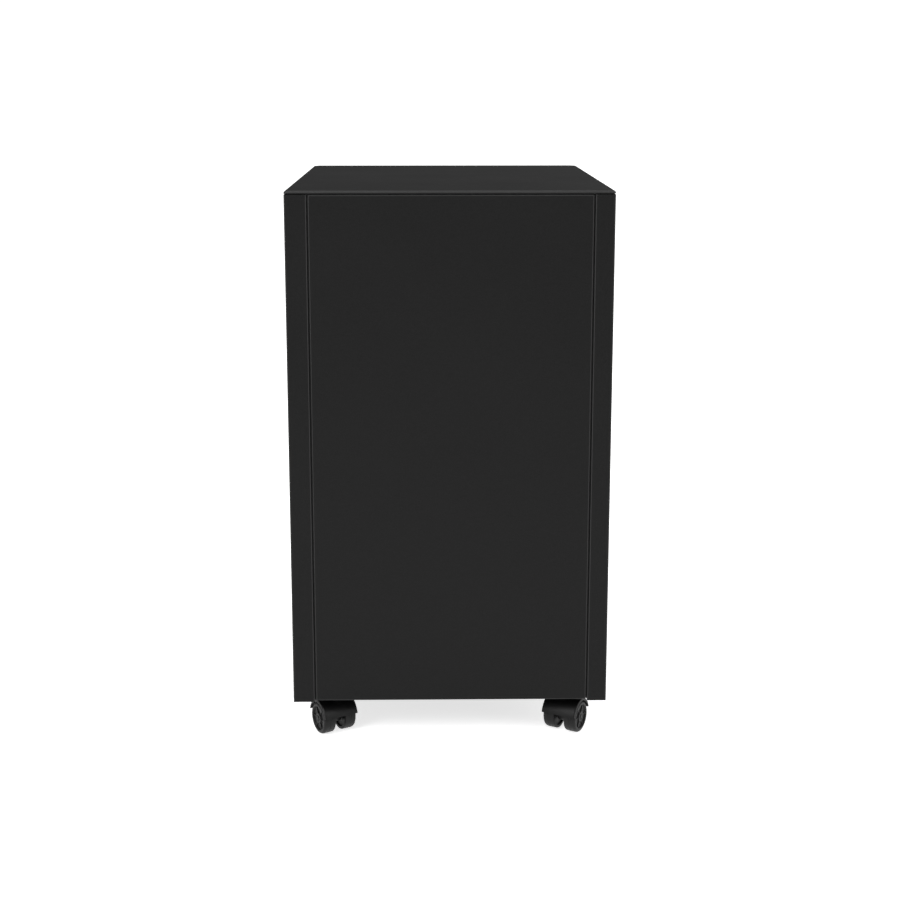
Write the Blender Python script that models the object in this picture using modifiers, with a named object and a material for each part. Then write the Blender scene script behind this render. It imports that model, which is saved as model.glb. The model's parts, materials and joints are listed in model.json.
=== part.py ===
"""Rolling pedestal cabinet: folded-steel case, two box drawers, a file drawer, a central
lock and four twin-wheel casters.

Metres. +X is right seen from the front, -Y is the front, +Z is up, and Z = 0 is the floor.
"""
import math

import bmesh
import bpy
from mathutils import Matrix, Vector

# Overall size
WIDTH = 0.390
DEPTH = 0.500
HEIGHT = 0.687
CASE_BOTTOM = 0.052

# Sheet steel and clearances
SHEET = 0.0008
SLIDE_SHEET = 0.0012
BEND = 0.0015
GAP = 0.0003
SEAM = 0.003
# How far a cutter runs past a face
PAST = 0.010

# Case
LID_SKIRT = 0.0035
LID_BEND = 0.0025
LID_SEAM = 0.0011
FRONT_CORNER = 0.012
STILE = 0.018
STILE_RETURN = 0.015
BACK_RETURN = {"right": 0.0264, "left": 0.0236}
BACK_HEM = 0.010
BACK_GROOVE = 0.0018
BACK_RECESS = 0.0005
BACK_PANEL_BOTTOM = 0.0535
BACK_PANEL_BEND = 0.0018
FACE_INSET = 0.0018
FLOOR_FLANGE = 0.012
RAIL_HEIGHT = 0.0314
RAIL_DEPTH = 0.014
UPRIGHT_FACE = 0.1765
UPRIGHT_WIDTH = 0.030
UPRIGHT_FRONT = -0.2275
UPRIGHT_REAR = 0.180

# Drawers, in a frame with Y = 0 on the front's face and Z = 0 at its lower edge
FRONT_WIDTH = 0.350
FRONT_DEPTH = 0.0162
BOX_FRONT = 0.144
FILE_FRONT = 0.2865
TRAY_HALF_WIDTH = 0.1632
TRAY_DEPTH = 0.440
TRAY_LIFT = 0.008
BOX_TRAY = 0.110
FILE_TRAY = 0.220
BOX_SLIDE_Z = 0.052
FILE_SLIDE_Z = 0.110
FILE_RAIL_START = 0.030
FILE_RAIL_END = 0.440
FILE_RAIL_THICKNESS = 0.0015
FILE_RAIL_OVERLAP = 0.020
FILE_RAIL_RISE = 0.018

# Slides: half heights of the nested channels, and the planes of their webs and edges
SLIDE_REAR = 0.216
OUTER_HALF = {"box": 0.0175, "file": 0.0225}
MID_HALF = 0.0195
INNER_HALF = {"box": 0.0125, "file": 0.0145}
OUTER_WEB = 0.1762
OUTER_EDGE = 0.1662
MID_WEB = 0.1742
MID_EDGE = 0.1652
INNER_WEB = 0.1635
INNER_EDGE = {"box": 0.1735, "file": 0.1720}

# Recessed pull
PULL_WIDTH = 0.144
PULL_HEIGHT = 0.050
PULL_DEPTH = 0.0135
PULL_BELOW_TOP = 0.040
PULL_BEZEL = 0.0045
PULL_PLATE = 0.0014
PULL_PROUD = 0.0017
PULL_LIP = 0.007
PULL_WALL = 0.0022

# Pen tray, in the top drawer's frame
PEN_TRAY_HALF = 0.1610
PEN_TRAY_RIM_HALF = 0.1640
PEN_TRAY_RIM = 0.0017
PEN_TRAY_DROP = 0.0218
PEN_TRAY_REAR = 0.119
PEN_TRAY_WALL = 0.003
PEN_TRAY_FLOOR = 0.0018
PEN_TRAY_SPLIT = 0.060

# Lock and its locking bar
LOCK_X = 0.150
LOCK_Z = 0.667
PLUG_RADIUS = 0.0060
BARREL_RADIUS = 0.0090
BEZEL_RADIUS = 0.0115
BEZEL_THICKNESS = 0.0012
BARREL_LENGTH = 0.0138
PLUG_LENGTH = 0.0146
KEYHOLE = (0.0014, 0.0078, 0.0070)  # width, depth, height
LOCK_SETBACK = 0.0002
CAM_THICKNESS = 0.0022
CAM_ARM = 0.010
CAM_PIN_RADIUS = 0.002
CAM_REST = math.radians(45)
BAR_FRONT = -0.2312
BAR_THICKNESS = 0.002
BAR_INNER = 0.179
BAR_OUTER = 0.190
BAR_TAIL = 0.012
BAR_ARM_HALF = 0.0056
BAR_ARM_END = 0.152
LUG_END = 0.165
SLOT_CLEARANCE = 0.0008
CATCH_DEPTH = 0.006
CATCH_REACH = 0.0058
LUG_HEIGHT = 0.008
LUG_TRAVEL = 2 * CAM_ARM * math.sin(CAM_REST)
CATCH_ABOVE_SLIDE = {"box": 0.020, "file": 0.026}

# Casters
SWIVEL_X = 0.154
SWIVEL_Y = 0.204
TRAIL = 0.013
WHEEL_RADIUS = 0.020
WHEEL_INNER = 0.0066
WHEEL_OUTER = 0.0224
WHEEL_SHOULDER = 0.003
WHEEL_CHAMFER = 0.0012
AXLE_RADIUS = 0.003
BOSS_RADIUS = 0.009
HOOD_RADIUS = 0.0243
HOOD_HALF_WIDTH = 0.023
HOOD_WELL_RADIUS = 0.0210
HOOD_SKIRT_Z = 0.026
HOOD_TOP = 0.0499
NECK_RADIUS = 0.011
NECK_BOTTOM = 0.030
KINGPIN_RADIUS = 0.004
KINGPIN_BOTTOM = 0.038
PLATE_SIDE = 0.038
PLATE_THICKNESS = 0.002
PLATE_TOP = 0.0522
LEVER_PIVOT = 0.0155
LEVER_PIN_RADIUS = 0.0015
LEVER_THICKNESS = 0.003
LEVER_HALF_WIDTH = 0.012
LEVER_PADDLE = (0.0095, 0.0195)
LEVER_PRONG = (0.0024, 0.0058)
LEVER_EAR = 0.0025
TONGUE_HALF = 0.0020
# Direction in which each caster trails, in degrees from +X
CASTERS = {
    "rear_right": (1, 1, 120),
    "rear_left": (-1, 1, 60),
    "front_right": (1, -1, 307),
    "front_left": (-1, -1, 232),
}

# Working planes that follow from the sizes above
HALF_WIDTH = WIDTH / 2
FRONT = -DEPTH / 2
BACK = DEPTH / 2
FACE = FRONT + FACE_INSET
LID_BOTTOM = HEIGHT - LID_SKIRT
CASE_TOP = LID_BOTTOM - LID_SEAM
OPENING_HALF = HALF_WIDTH - STILE
FLOOR_BOTTOM = CASE_BOTTOM + 0.0005
RAIL_BOTTOM = CASE_TOP - RAIL_HEIGHT
FILE_Z = FLOOR_BOTTOM + FLOOR_FLANGE + SEAM
MIDDLE_Z = FILE_Z + FILE_FRONT + SEAM
TOP_Z = MIDDLE_Z + BOX_FRONT + SEAM
TRAY_FRONT = FRONT_DEPTH + 2 * GAP
BAR_REAR = BAR_FRONT + BAR_THICKNESS
SIDES = (("right", 1), ("left", -1))
# Drawer rows: name, height of the front's lower edge, kind, slide height above that edge
ROWS = (
    ("top", TOP_Z, "box", BOX_SLIDE_Z),
    ("middle", MIDDLE_Z, "box", BOX_SLIDE_Z),
    ("file", FILE_Z, "file", FILE_SLIDE_Z),
)
FRONT_HEIGHT = {"box": BOX_FRONT, "file": FILE_FRONT}
TRAY_HEIGHT = {"box": BOX_TRAY, "file": FILE_TRAY}


def clear_scene():
    for item in list(bpy.data.objects):
        bpy.data.objects.remove(item, do_unlink=True)


def make_collection(name):
    collection = bpy.data.collections.new(name)
    bpy.context.scene.collection.children.link(collection)
    return collection


def make_material(name, colour, roughness, metallic):
    material = bpy.data.materials.new(name)
    material.use_nodes = True
    shader = material.node_tree.nodes["Principled BSDF"]
    shader.inputs["Base Color"].default_value = (*colour, 1.0)
    shader.inputs["Roughness"].default_value = roughness
    shader.inputs["Metallic"].default_value = metallic
    return material


clear_scene()
PARTS = make_collection("rolling_pedestal_cabinet")
TOOLS = make_collection("cutters")
POWDER_COAT = make_material("powder_coat", (0.022, 0.022, 0.023), 0.5, 0.0)
ZINC = make_material("zinc_plated_steel", (0.62, 0.63, 0.65), 0.35, 1.0)
CHROME = make_material("chrome", (0.75, 0.75, 0.76), 0.12, 1.0)
BLACK_PLASTIC = make_material("black_plastic", (0.012, 0.012, 0.013), 0.45, 0.0)
TREAD = make_material("wheel_nylon", (0.015, 0.015, 0.015), 0.55, 0.0)


# --- shape helpers ----------------------------------------------------------------------

def add_object(name, bm, material=None, parent=None, location=(0, 0, 0), rotation=(0, 0, 0)):
    """Object from a bmesh, in its parent's frame; one with no material is a cutter."""
    mesh = bpy.data.meshes.new(name)
    bm.to_mesh(mesh)
    bm.free()
    item = bpy.data.objects.new(name, mesh)
    item.parent = parent
    item.location = location
    item.rotation_euler = rotation
    if material:
        mesh.materials.append(material)
        PARTS.objects.link(item)
    else:
        item.hide_render = True
        item.display_type = "WIRE"
        TOOLS.objects.link(item)
    return item


def add_empty(name, location, turn=0.0, parent=None):
    empty = bpy.data.objects.new(name, None)
    empty.parent = parent
    empty.location = location
    empty.rotation_euler = (0, 0, turn)
    empty.empty_display_size = 0.02
    PARTS.objects.link(empty)
    return empty


def block(low, high):
    """Box between two corners."""
    low, high = Vector(low), Vector(high)
    bm = bmesh.new()
    bmesh.ops.create_cube(bm, size=1.0)
    bmesh.ops.scale(bm, vec=high - low, verts=bm.verts)
    bmesh.ops.translate(bm, vec=(low + high) / 2, verts=bm.verts)
    return bm


def rod(start, end, radius, segments=20):
    """Solid cylinder between two points."""
    start, end = Vector(start), Vector(end)
    bm = bmesh.new()
    bmesh.ops.create_cone(
        bm, cap_ends=True, segments=segments, radius1=radius, radius2=radius, depth=(end - start).length
    )
    turn = (end - start).to_track_quat("Z", "Y").to_matrix().to_4x4()
    bmesh.ops.transform(bm, matrix=Matrix.Translation((start + end) / 2) @ turn, verts=bm.verts)
    for face in bm.faces:
        face.smooth = len(face.verts) == 4
    return bm


def bevel(item, width, segments=2):
    modifier = item.modifiers.new("bends", "BEVEL")
    modifier.width = width
    modifier.segments = segments
    modifier.limit_method = "ANGLE"
    modifier.angle_limit = math.radians(40)
    return item


def solidify(item, thickness):
    modifier = item.modifiers.new("sheet", "SOLIDIFY")
    modifier.thickness = thickness
    modifier.offset = -1.0
    modifier.use_even_offset = True
    return item


def combine(item, operation, tool):
    """Cut or join item with another object's shape."""
    modifier = item.modifiers.new(operation.lower(), "BOOLEAN")
    modifier.operation = operation
    modifier.solver = "EXACT"
    modifier.object = tool
    return item


def cut(item, bm):
    return combine(item, "DIFFERENCE", add_object(f"{item.name}_cut", bm, parent=item.parent))


def join(item, bm):
    return combine(item, "UNION", add_object(f"{item.name}_add", bm, parent=item.parent))


def pan(name, low, high, open_to, material, bend=BEND, front_corner=0.0, parent=None, segments=2):
    """Folded sheet tray that is open on one side; front_corner rounds its upright front edges."""
    bm = block(low, high)
    if front_corner:
        upright = [
            edge for edge in bm.edges
            if all(vert.co.y < (low[1] + high[1]) / 2 for vert in edge.verts)
            and abs(edge.verts[0].co.x - edge.verts[1].co.x) < GAP
        ]
        bmesh.ops.bevel(bm, geom=upright, offset=front_corner, segments=5, profile=0.5, affect="EDGES")
    open_faces = [face for face in bm.faces if face.normal.dot(Vector(open_to)) > 0.9]
    bmesh.ops.delete(bm, geom=open_faces, context="FACES")
    item = add_object(name, bm, material, parent)
    bevel(item, bend, segments)
    return solidify(item, SHEET)


def rounded(points, radii, steps=3):
    """Open outline whose inner corners are arcs of the given radii."""
    outline = [Vector(points[0])]
    for before, corner, after, radius in zip(points, points[1:], points[2:], radii):
        corner = Vector(corner)
        back = (Vector(before) - corner).normalized()
        ahead = (Vector(after) - corner).normalized()
        half = math.acos(back.dot(ahead)) / 2
        centre = corner + (back + ahead).normalized() * radius / math.sin(half)
        start = corner + back * radius / math.tan(half) - centre
        turn = math.copysign(math.pi - 2 * half, ahead.cross(back))
        for i in range(steps + 1):
            outline.append(centre + Matrix.Rotation(turn * i / steps, 2) @ start)
    outline.append(Vector(points[-1]))
    return outline


def ribbon(name, outline, low, high, thickness, material, along="Z", parent=None):
    """Bent sheet: an open outline, its outer face, swept along Z or Y and thickened inwards."""
    bm = bmesh.new()
    if along == "Z":
        verts = [bm.verts.new((u, v, low)) for u, v in outline]
        sweep = (0, 0, high - low)
    else:
        verts = [bm.verts.new((u, low, v)) for u, v in outline]
        sweep = (0, high - low, 0)
    edges = [bm.edges.new(pair) for pair in zip(verts, verts[1:])]
    swept = bmesh.ops.extrude_edge_only(bm, edges=edges)["geom"]
    moved = [element for element in swept if isinstance(element, bmesh.types.BMVert)]
    bmesh.ops.translate(bm, vec=sweep, verts=moved)
    bm.normal_update()
    web = max(bm.faces, key=lambda face: face.calc_area())
    middle = sum((vert.co for vert in bm.verts), Vector()) / len(bm.verts)
    if web.normal.dot(middle - web.calc_center_median()) > 0:
        bmesh.ops.reverse_faces(bm, faces=bm.faces)
    return solidify(add_object(name, bm, material, parent), thickness)


def turned(name, profile, material, steps, ring=False, parent=None, location=(0, 0, 0), turn=(0, 0, 0)):
    """Solid of revolution about its own Z; profile is (radius, height) down its outer side."""
    bm = bmesh.new()
    verts = [bm.verts.new((radius, 0, height)) for radius, height in profile]
    for pair in zip(verts, verts[1:]):
        bm.edges.new(pair)
    if ring:
        bm.edges.new((verts[-1], verts[0]))
    item = add_object(name, bm, material, parent, location, turn)
    modifier = item.modifiers.new("turn", "SCREW")
    modifier.angle = 2 * math.pi
    modifier.steps = modifier.render_steps = steps
    modifier.use_merge_vertices = True
    modifier.merge_threshold = 0.00001
    return item


# --- case ---------------------------------------------------------------------------------

def side_panel(side, sign):
    """Side wall with its front stile, and a back return that ends in a hem."""
    back_end = HALF_WIDTH - BACK_RETURN[side]
    corners = [
        (OPENING_HALF, FRONT + STILE_RETURN),
        (OPENING_HALF, FRONT),
        (HALF_WIDTH, FRONT),
        (HALF_WIDTH, BACK),
        (back_end, BACK),
        (back_end, BACK - BACK_HEM),
    ]
    outline = rounded([(sign * x, y) for x, y in corners], (BEND, FRONT_CORNER, BEND, BEND))
    ribbon(f"side_panel_{side}", outline, CASE_BOTTOM, CASE_TOP, SHEET, POWDER_COAT)


def upright(name, sign, start):
    """Slide-mounting channel on the inside of a side wall."""
    wall = HALF_WIDTH - SHEET - GAP
    end = start + UPRIGHT_WIDTH
    corners = [(wall, start), (UPRIGHT_FACE, start), (UPRIGHT_FACE, end), (wall, end)]
    outline = rounded([(sign * x, y) for x, y in corners], (BEND, BEND))
    bottom = FLOOR_BOTTOM + FLOOR_FLANGE + 5 * GAP
    ribbon(name, outline, bottom, CASE_TOP - 5 * GAP, SLIDE_SHEET, ZINC)


def back_panel():
    left = HALF_WIDTH - BACK_RETURN["left"] - BACK_GROOVE
    right = HALF_WIDTH - BACK_RETURN["right"] - BACK_GROOVE
    face = BACK - BACK_RECESS
    low = (-left, face - BACK_HEM, BACK_PANEL_BOTTOM)
    high = (right, face, CASE_TOP - GAP)
    pan("back_panel", low, high, (0, -1, 0), POWDER_COAT, bend=BACK_PANEL_BEND, segments=3)


def floor_and_rails():
    """Bottom panel, and the rails that close the case's front below and above the drawers."""
    floor_half = HALF_WIDTH - SHEET - 2 * GAP
    floor_front = FRONT + STILE_RETURN + SHEET
    floor_rear = BACK - BACK_RECESS - BACK_HEM - GAP
    floor_top = FLOOR_BOTTOM + FLOOR_FLANGE
    pan("bottom_panel", (-floor_half, floor_front, FLOOR_BOTTOM), (floor_half, floor_rear, floor_top),
        (0, 0, 1), POWDER_COAT)
    rail_half = OPENING_HALF - 0.0004
    pan("base_rail", (-rail_half, FACE, FLOOR_BOTTOM), (rail_half, floor_front - GAP, floor_top),
        (0, 1, 0), POWDER_COAT)
    rail = pan("top_rail", (-rail_half, FACE, RAIL_BOTTOM), (rail_half, FACE + RAIL_DEPTH, CASE_TOP - GAP),
               (0, 1, 0), POWDER_COAT)
    start, end = (LOCK_X, FRONT - PAST, LOCK_Z), (LOCK_X, FACE + PAST / 2, LOCK_Z)
    cut(rail, rod(start, end, BARREL_RADIUS + 0.0004, 32))


def build_case():
    pan("top_panel", (-HALF_WIDTH, FRONT, LID_BOTTOM), (HALF_WIDTH, BACK, HEIGHT), (0, 0, -1), POWDER_COAT,
        bend=LID_BEND, front_corner=FRONT_CORNER, segments=3)
    for side, sign in SIDES:
        side_panel(side, sign)
        upright(f"upright_front_{side}", sign, UPRIGHT_FRONT)
        upright(f"upright_rear_{side}", sign, UPRIGHT_REAR)
    back_panel()
    floor_and_rails()


# --- slides -------------------------------------------------------------------------------

def channel(name, sign, web, edge, height, half, start, end, parent=None):
    """Slide member along Y: a C section from its web to its free edges."""
    corners = [(edge, height - half), (web, height - half), (web, height + half), (edge, height + half)]
    outline = rounded([(sign * x, z) for x, z in corners], (SLIDE_SHEET, SLIDE_SHEET), 2)
    ribbon(name, outline, start, end, SLIDE_SHEET, ZINC, "Y", parent)


def build_outer_slides():
    for row, bottom, kind, slide_z in ROWS:
        for side, sign in SIDES:
            channel(f"{row}_slide_outer_{side}", sign, OUTER_WEB, OUTER_EDGE, bottom + slide_z,
                    OUTER_HALF[kind], UPRIGHT_FRONT, SLIDE_REAR)


# --- drawers ------------------------------------------------------------------------------

def drawer_front(name, kind, origin):
    """Front pan with a cut-out for the pull."""
    height = FRONT_HEIGHT[kind]
    half = FRONT_WIDTH / 2
    front = pan(f"{name}_front", (-half, 0, 0), (half, FRONT_DEPTH, height), (0, 1, 0), POWDER_COAT,
                parent=origin)
    x = PULL_WIDTH / 2 - PULL_BEZEL + 0.0005
    z = PULL_HEIGHT / 2 - PULL_BEZEL + 0.0005
    middle = height - PULL_BELOW_TOP
    cut(front, block((-x, -PAST, middle - z), (x, PAST / 2, middle + z)))


def pull(name, kind, origin):
    """Recessed pull: a bezel plate with a cup behind it and a lip to hook the fingers over."""
    x = PULL_WIDTH / 2
    middle = FRONT_HEIGHT[kind] - PULL_BELOW_TOP
    low, high = middle - PULL_HEIGHT / 2, middle + PULL_HEIGHT / 2
    plate = block((-x, -PULL_PROUD, low), (x, PULL_PLATE - PULL_PROUD, high))
    item = add_object(f"{name}_pull", plate, BLACK_PLASTIC, origin)
    x -= PULL_BEZEL
    low += PULL_BEZEL
    high -= PULL_BEZEL
    join(item, block((-x, -3 * GAP, low), (x, PULL_DEPTH, high)))
    x -= PULL_WALL
    low += PULL_WALL
    high -= PULL_WALL
    cut(item, block((-x, PULL_PLATE, low), (x, PULL_DEPTH - PULL_WALL, high)))
    cut(item, block((-x, -PAST, low), (x, PULL_DEPTH / 2, high - PULL_LIP)))


def drawer_tray(name, kind, slide_z, origin):
    """Open-topped tray; the catch on its right wall is what the locking bar's lug blocks."""
    tray = pan(f"{name}_tray", (-TRAY_HALF_WIDTH, TRAY_FRONT, TRAY_LIFT),
               (TRAY_HALF_WIDTH, TRAY_FRONT + TRAY_DEPTH, TRAY_LIFT + TRAY_HEIGHT[kind]),
               (0, 0, 1), POWDER_COAT, parent=origin)
    low = (TRAY_HALF_WIDTH - 0.7 * SHEET, BAR_REAR - FACE + 2 * GAP, slide_z + CATCH_ABOVE_SLIDE[kind])
    high = (TRAY_HALF_WIDTH + CATCH_REACH, low[1] + CATCH_DEPTH, low[2] + LUG_HEIGHT)
    join(tray, block(low, high))


def drawer(name, bottom, kind, slide_z):
    """Everything that moves with one drawer; returns its empty."""
    origin = add_empty(f"{name}_origin", (0, FACE, bottom))
    drawer_front(name, kind, origin)
    pull(name, kind, origin)
    drawer_tray(name, kind, slide_z, origin)
    for side, sign in SIDES:
        channel(f"{name}_slide_inner_{side}", sign, INNER_WEB, INNER_EDGE[kind], slide_z,
                INNER_HALF[kind], UPRIGHT_FRONT - FACE, TRAY_FRONT + TRAY_DEPTH, origin)
    return origin


def build_pen_tray(origin):
    """Moulded tray that hangs on the top drawer's side walls and slides along them."""
    rim = TRAY_LIFT + BOX_TRAY + GAP
    front = TRAY_FRONT + SHEET + 0.0014
    bottom = rim - PEN_TRAY_DROP
    top = rim + PEN_TRAY_RIM
    flange = block((-PEN_TRAY_RIM_HALF, front, rim), (PEN_TRAY_RIM_HALF, PEN_TRAY_REAR, top))
    item = add_object("pen_tray", flange, BLACK_PLASTIC, origin)
    body = ((-PEN_TRAY_HALF, front + GAP, bottom), (PEN_TRAY_HALF, PEN_TRAY_REAR - GAP, top - 2 * GAP))
    join(item, block(*body))
    wall = PEN_TRAY_WALL
    middle = (front + PEN_TRAY_REAR) / 2
    columns = ((-PEN_TRAY_HALF + wall, PEN_TRAY_SPLIT), (PEN_TRAY_SPLIT + wall, PEN_TRAY_HALF - wall))
    rows = ((front + wall, middle - wall / 2), (middle + wall / 2, PEN_TRAY_REAR - wall))
    for low_x, high_x in columns:
        for low_y, high_y in rows:
            cut(item, block((low_x, low_y, bottom + PEN_TRAY_FLOOR), (high_x, high_y, top + PAST)))


def build_file_fittings(origin):
    """Hanging-folder rails, and the middle members of the file drawer's full-extension slides."""
    rim = TRAY_LIFT + FILE_TRAY
    outer = TRAY_HALF_WIDTH - SHEET - GAP
    slide_mid = add_empty("file_slide_mid_origin", (0, FACE, FILE_Z))
    for side, sign in SIDES:
        faces = sorted((sign * (outer - FILE_RAIL_THICKNESS), sign * outer))
        rail = block((faces[0], FILE_RAIL_START, rim - FILE_RAIL_OVERLAP),
                     (faces[1], FILE_RAIL_END, rim + FILE_RAIL_RISE))
        add_object(f"file_rail_{side}", rail, ZINC, origin)
        channel(f"file_slide_mid_{side}", sign, MID_WEB, MID_EDGE, FILE_SLIDE_Z, MID_HALF,
                UPRIGHT_FRONT - FACE, TRAY_FRONT + TRAY_DEPTH, slide_mid)


def build_drawers():
    origins = {name: drawer(name, bottom, kind, slide_z) for name, bottom, kind, slide_z in ROWS}
    build_pen_tray(origins["top"])
    build_file_fittings(origins["file"])


# --- lock ---------------------------------------------------------------------------------

def lock_cylinder():
    """Housing and plug, turned about the lock's axis and facing the front."""
    place = {"location": (LOCK_X, FRONT + LOCK_SETBACK, LOCK_Z), "turn": (math.radians(90), 0, 0)}
    bore = PLUG_RADIUS + GAP
    chamfer = 0.0005
    turned("lock_housing", [
        (bore, 0), (BEZEL_RADIUS - chamfer, 0), (BEZEL_RADIUS, -chamfer), (BEZEL_RADIUS, -BEZEL_THICKNESS),
        (BARREL_RADIUS, -BEZEL_THICKNESS), (BARREL_RADIUS, -BARREL_LENGTH), (bore, -BARREL_LENGTH),
    ], CHROME, 32, ring=True, **place)
    plug = turned("lock_plug", [
        (0, 0), (PLUG_RADIUS - chamfer, 0), (PLUG_RADIUS, -chamfer), (PLUG_RADIUS, -PLUG_LENGTH),
        (0, -PLUG_LENGTH),
    ], CHROME, 32, **place)
    width, depth, height = KEYHOLE
    cut(plug, block((LOCK_X - width / 2, FRONT - PAST, LOCK_Z - height / 2),
                    (LOCK_X + width / 2, FRONT + LOCK_SETBACK + depth, LOCK_Z + height / 2)))


def lock_cam(pin):
    """Cam behind the plug; pin is where its pin stands from the axis, as (x, z)."""
    front = FRONT + LOCK_SETBACK + PLUG_LENGTH + 0.0004
    origin = add_empty("lock_cam_origin", (LOCK_X, front, LOCK_Z))
    cam = add_object("lock_cam", rod((0, 0, 0), (0, CAM_THICKNESS, 0), PLUG_RADIUS), ZINC, origin)
    for reach, radius in ((0.6, 0.0047), (1.0, 0.0038)):
        x, z = pin[0] * reach, pin[1] * reach
        join(cam, rod((x, 0, z), (x, CAM_THICKNESS, z), radius))
    tip = BAR_REAR - front + 2 * GAP
    join(cam, rod((pin[0], CAM_THICKNESS / 2, pin[1]), (pin[0], tip, pin[1]), CAM_PIN_RADIUS))


def lock_bar(pin):
    """Locking bar: an arm with a slot for the cam's pin, and a lug for each drawer's catch."""
    arm_z = LOCK_Z + pin[1]
    lugs = [bottom + slide_z + CATCH_ABOVE_SLIDE[kind] + LUG_TRAVEL for _, bottom, kind, slide_z in ROWS]
    strip = block((BAR_INNER, BAR_FRONT, min(lugs) - BAR_TAIL), (BAR_OUTER, BAR_REAR, arm_z + BAR_ARM_HALF))
    bar = add_object("lock_bar", strip, ZINC)
    inside = (BAR_INNER + BAR_OUTER) / 2
    join(bar, block((BAR_ARM_END, BAR_FRONT, arm_z - BAR_ARM_HALF), (inside, BAR_REAR, arm_z + BAR_ARM_HALF)))
    for lug in lugs:
        join(bar, block((LUG_END, BAR_FRONT, lug), (inside, BAR_REAR, lug + LUG_HEIGHT)))
    slot = CAM_PIN_RADIUS + SLOT_CLEARANCE
    cut(bar, block((LOCK_X + pin[0] - slot, BAR_FRONT - PAST, arm_z - slot),
                   (LOCK_X + CAM_ARM + slot, BAR_REAR + PAST, arm_z + slot)))


def build_lock():
    """Key lock in the top rail; its cam's pin moves the locking bar, which blocks the drawers."""
    pin = (CAM_ARM * math.cos(CAM_REST), CAM_ARM * math.sin(CAM_REST))
    lock_cylinder()
    lock_cam(pin)
    lock_bar(pin)


# --- casters ------------------------------------------------------------------------------

def caster_plate(name, origin):
    """Mounting plate with its kingpin."""
    half = PLATE_SIDE / 2
    bottom = PLATE_TOP - PLATE_THICKNESS
    plate = block((-half, -half, bottom), (half, half, PLATE_TOP))
    plate = add_object(f"caster_plate_{name}", plate, ZINC, origin)
    join(plate, rod((0, 0, KINGPIN_BOTTOM), (0, 0, bottom + PLATE_THICKNESS / 2), KINGPIN_RADIUS, 20))


def axle_rod(start, end, radius, segments):
    """Cylinder on the wheels' axle, between two distances from the caster's middle."""
    return rod((TRAIL, start, WHEEL_RADIUS), (TRAIL, end, WHEEL_RADIUS), radius, segments)


def caster_hood(name, swivel, braked):
    """Hood over both wheels with the web, boss and axle that carry them; +X is the trailing side."""
    drum = axle_rod(-HOOD_HALF_WIDTH, HOOD_HALF_WIDTH, HOOD_RADIUS, 28)
    hood = add_object(f"caster_hood_{name}", drum, BLACK_PLASTIC, swivel)
    reach = 2 * HOOD_RADIUS
    cut(hood, block((-reach, -reach, -reach), (reach, reach, HOOD_SKIRT_Z)))
    join(hood, rod((0, 0, NECK_BOTTOM), (0, 0, HOOD_TOP), NECK_RADIUS, 24))
    web = WHEEL_INNER - 0.0004
    for sign in (1, -1):
        cut(hood, axle_rod(sign * web, sign * reach, HOOD_WELL_RADIUS, 28))
    join(hood, axle_rod(-web, web, BOSS_RADIUS, 20))
    axle = WHEEL_OUTER + GAP
    join(hood, axle_rod(-axle, axle, AXLE_RADIUS, 16))
    cut(hood, rod((0, 0, KINGPIN_BOTTOM - 0.0004), (0, 0, HOOD_TOP + PAST), KINGPIN_RADIUS + 0.0004, 20))
    if braked:
        pivot = TRAIL + LEVER_PIVOT
        ear = LEVER_THICKNESS
        join(hood, block((TRAIL + BOSS_RADIUS / 2, -TONGUE_HALF, WHEEL_RADIUS - ear),
                         (pivot + ear, TONGUE_HALF, WHEEL_RADIUS + ear)))
        cut(hood, rod((pivot, -web, WHEEL_RADIUS), (pivot, web, WHEEL_RADIUS), LEVER_PIN_RADIUS + GAP, 16))


def caster_wheels(name, swivel):
    """Two wheels that turn on their own on one axle."""
    width = WHEEL_OUTER - WHEEL_INNER
    bore = AXLE_RADIUS + GAP
    knee = 0.3 * WHEEL_SHOULDER
    profile = [
        (bore, width), (WHEEL_RADIUS - WHEEL_SHOULDER, width), (WHEEL_RADIUS - knee, width - knee),
        (WHEEL_RADIUS, width - WHEEL_SHOULDER), (WHEEL_RADIUS, WHEEL_CHAMFER),
        (WHEEL_RADIUS - WHEEL_CHAMFER, 0), (bore, 0),
    ]
    for side, sign in SIDES:
        turned(f"wheel_{name}_{side}", profile, TREAD, 28, ring=True, parent=swivel,
               location=(TRAIL, sign * WHEEL_INNER, WHEEL_RADIUS), turn=(-sign * math.radians(90), 0, 0))


def brake_lever(name, swivel):
    """Foot lever on a pin between the wheels: a paddle with two prongs."""
    origin = add_empty(f"brake_lever_{name}_origin", (TRAIL + LEVER_PIVOT, 0, WHEEL_RADIUS), parent=swivel)
    half = LEVER_THICKNESS / 2
    start, end = LEVER_PADDLE
    paddle = block((start, -LEVER_HALF_WIDTH, -half), (end, LEVER_HALF_WIDTH, half))
    lever = add_object(f"brake_lever_{name}", paddle, BLACK_PLASTIC, origin)
    inner, outer = LEVER_PRONG
    for low, high in ((inner, outer), (-outer, -inner)):
        join(lever, block((-LEVER_EAR, low, -half), (start + half, high, half)))
    middle = (inner + outer) / 2
    join(lever, rod((0, -middle, 0), (0, middle, 0), LEVER_PIN_RADIUS, 12))


def build_casters():
    for name, (side_x, side_y, trail_angle) in CASTERS.items():
        place = (side_x * SWIVEL_X, side_y * SWIVEL_Y, 0)
        caster_plate(name, add_empty(f"caster_plate_{name}_origin", place))
        swivel = add_empty(f"caster_{name}_swivel", place, math.radians(trail_angle))
        braked = side_y < 0
        caster_hood(name, swivel, braked)
        caster_wheels(name, swivel)
        if braked:
            brake_lever(name, swivel)


build_case()
build_outer_slides()
build_drawers()
build_lock()
build_casters()
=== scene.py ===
"""Looks of the rolling pedestal cabinet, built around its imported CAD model.

Metres. +X is right seen from the front, -Y is the front, +Z is up, and Z = 0 is the floor.
"""
import json
import math

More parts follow.
